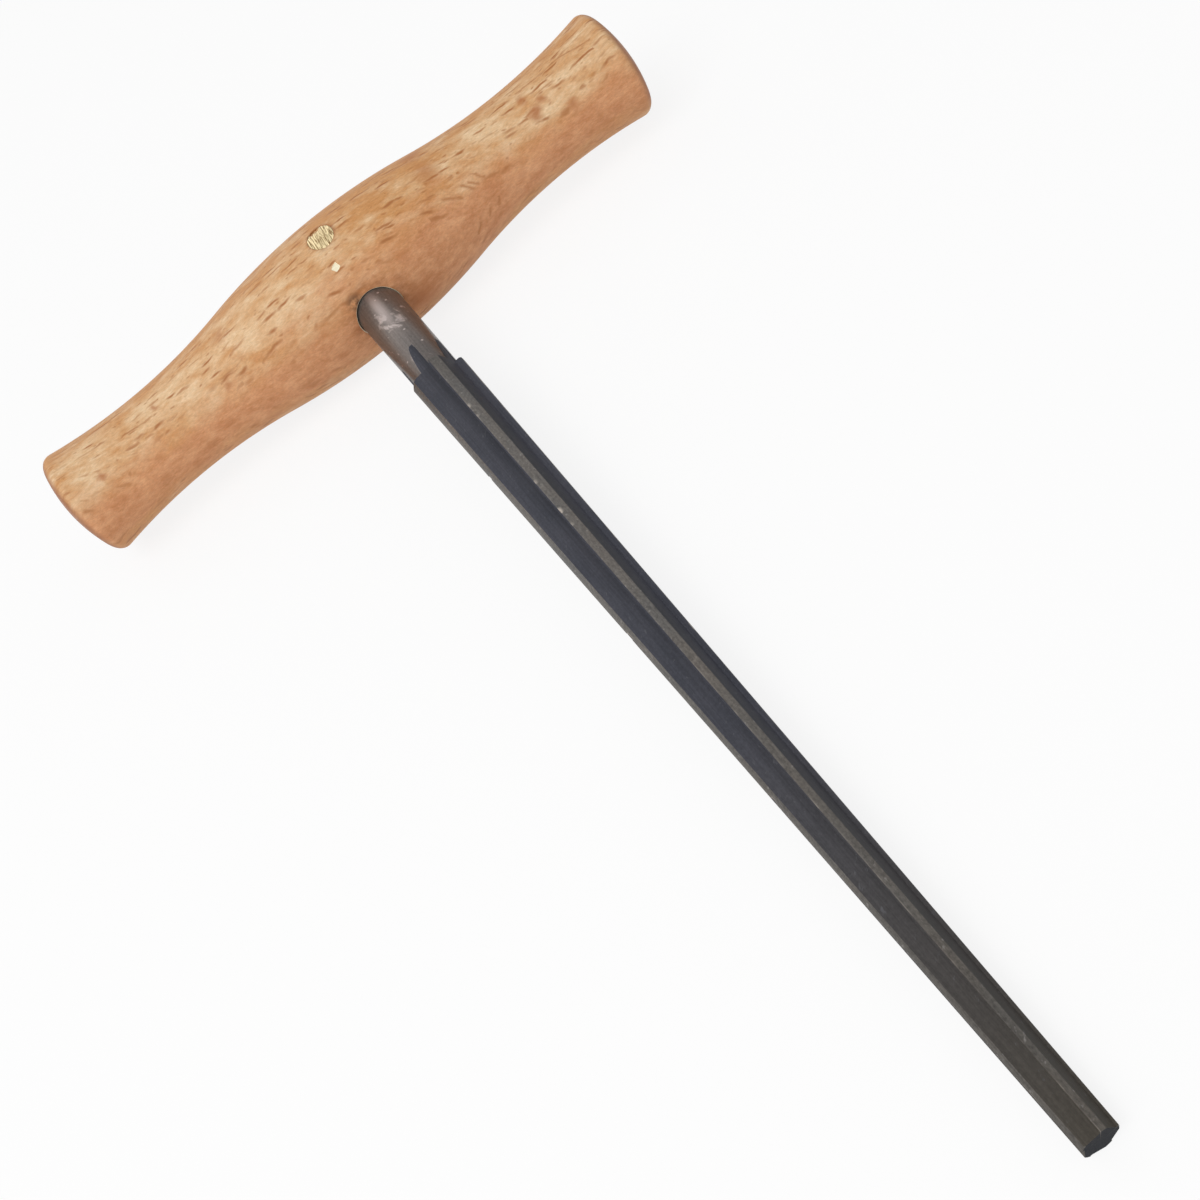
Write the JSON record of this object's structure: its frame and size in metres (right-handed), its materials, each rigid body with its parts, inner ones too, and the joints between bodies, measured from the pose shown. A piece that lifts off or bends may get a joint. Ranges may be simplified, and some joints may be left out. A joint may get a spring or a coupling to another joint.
{
  "type": "peg reamer",
  "caption": "Hand reamer for tapered peg holes: a fluted steel taper on a plain shank, pinned into a turned wooden cross handle.",
  "frame": {"origin": "where the handle's axis and the reamer's axis cross, inside the handle", "axes": "+X along the reamer towards its tip, Y along the handle, +Z along the cross pin"},
  "size_m": [0.192, 0.12, 0.024],
  "materials": {
    "handle_wood": "turned and oiled beech, semi-gloss",
    "tool_steel": "ground lands, dark blued flutes",
    "pin_brass": "filed flush"
  },
  "bodies": {
    "root": {"handle": "handle_wood", "reamer": "tool_steel", "cross_pin": "pin_brass"}
  },
  "joints": []
}
